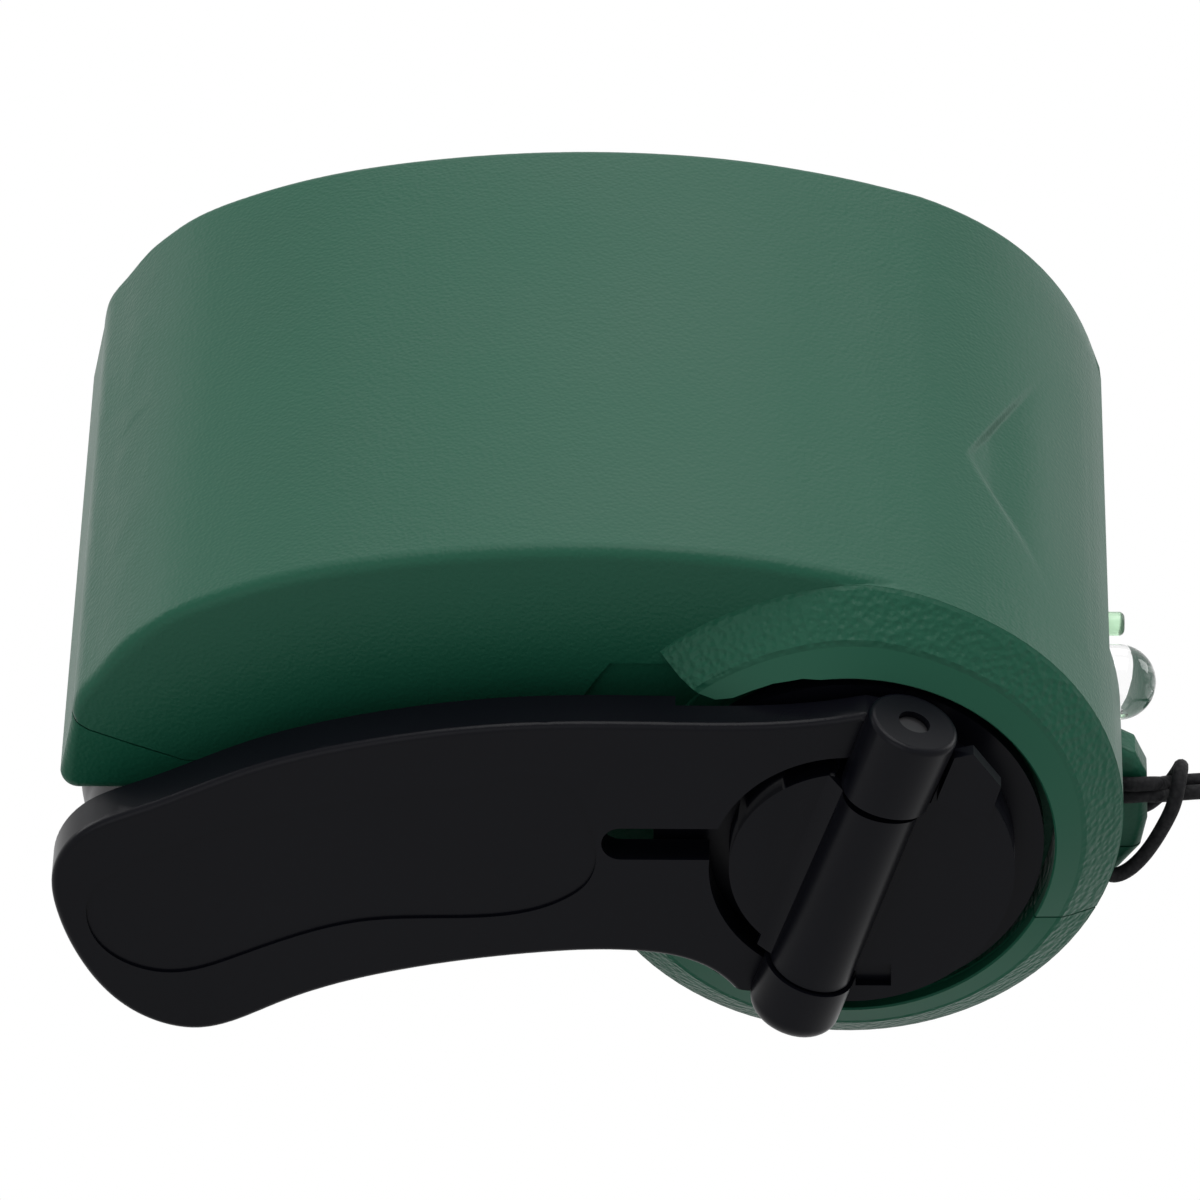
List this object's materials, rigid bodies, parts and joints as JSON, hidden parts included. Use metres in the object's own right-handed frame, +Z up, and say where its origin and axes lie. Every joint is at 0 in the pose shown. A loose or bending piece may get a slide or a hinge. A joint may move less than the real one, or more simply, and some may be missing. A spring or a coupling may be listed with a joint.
{
  "type": "hand crank phone charger",
  "caption": "Pocket hand generator with a two-shell green housing, a folding black crank with a knob, a lamp, a power socket and a lanyard",
  "frame": {"origin": "on the ground, under the middle of the object's box without its cord", "axes": "+Z up, -Y out of the crank's face, +X towards the hub's end wall with the lamp and socket"},
  "size_m": [0.0966, 0.0556, 0.0373],
  "materials": {
    "shell_green": "fine moulded grain",
    "crank_black": "smooth satin",
    "steel": "plated",
    "can_steel": "zinc plated",
    "socket_steel": "bright",
    "bronze": "sintered",
    "gear_white": "nylon",
    "brass": "bright",
    "magnet": "ferrite",
    "windings": "enamelled copper",
    "socket_white": "white",
    "board_green": "solder mask",
    "component_black": "epoxy",
    "lens_clear": "clear",
    "indicator_green": "translucent",
    "cord_black": "braided"
  },
  "bodies": {
    "housing": {"upper_shell": "shell_green", "lower_shell": "shell_green", "idler_axles": "steel", "front_bush": "bronze", "rear_bush": "bronze", "gear_plate": "gear_white", "generator_can": "can_steel", "rotor_bearing": "bronze", "generator_magnets": "magnet", "generator_cap": "can_steel", "generator_brushes": "windings", "generator_screws": "steel", "circuit_board": "board_green", "usb_shell": "socket_steel", "usb_tongue": "socket_white", "usb_contacts": "brass", "regulator_chip": "component_black", "smoothing_capacitor": "component_black", "inductor": "component_black", "led_lens": "lens_clear", "charge_indicator": "indicator_green", "housing_screws": "steel", "lanyard_hitch": "cord_black", "lanyard_strands": "cord_black", "lanyard_coil": "cord_black", "lanyard_knot": "cord_black"},
    "crank": {"crank_disc": "crank_black", "hinge_pin": "steel", "crank_shaft": "steel", "shaft_clip": "steel", "drive_gear": "gear_white"},
    "arm": {"crank_arm": "crank_black", "knob_screw": "steel"},
    "handle": {"knob": "crank_black"},
    "idler_1": {"idler_gear_1": "gear_white"},
    "idler_2": {"idler_gear_2": "gear_white"},
    "rotor": {"rotor_shaft": "steel", "rotor_pinion": "brass", "rotor_core": "windings", "commutator": "windings"}
  },
  "joints": [
    {"name": "crank_spin", "type": "hinge", "parent": "housing", "child": "crank", "pos_m": [0.0154, -0.0242, 0.0178], "axis": [0, -1, 0], "range_deg": [0, 310]},
    {"name": "arm_fold", "type": "hinge", "parent": "crank", "child": "arm", "pos_m": [0.0154, -0.0248, 0.0178], "axis": [0.2151, 0, 0.9766], "range_deg": [0, 180]},
    {"name": "knob_spin", "type": "hinge", "parent": "arm", "child": "handle", "pos_m": [-0.0287, -0.0242, 0.00687], "axis": [0, -1, 0], "continuous": true},
    {"name": "idler_1_spin", "type": "hinge", "parent": "housing", "child": "idler_1", "pos_m": [-0.00063, -0.0242, 0.0189], "axis": [0, -1, 0], "continuous": true},
    {"name": "idler_2_spin", "type": "hinge", "parent": "housing", "child": "idler_2", "pos_m": [-0.01376, -0.0242, 0.02392], "axis": [0, -1, 0], "continuous": true},
    {"name": "rotor_spin", "type": "hinge", "parent": "housing", "child": "rotor", "pos_m": [-0.0033, -0.0242, 0.02246], "axis": [0, -1, 0], "continuous": true}
  ],
  "couplings": [
    {"joint": "idler_1_spin", "follows": "crank_spin", "ratio": -4.3333},
    {"joint": "idler_2_spin", "follows": "crank_spin", "ratio": 15.889},
    {"joint": "rotor_spin", "follows": "crank_spin", "ratio": -50.844}
  ]
}
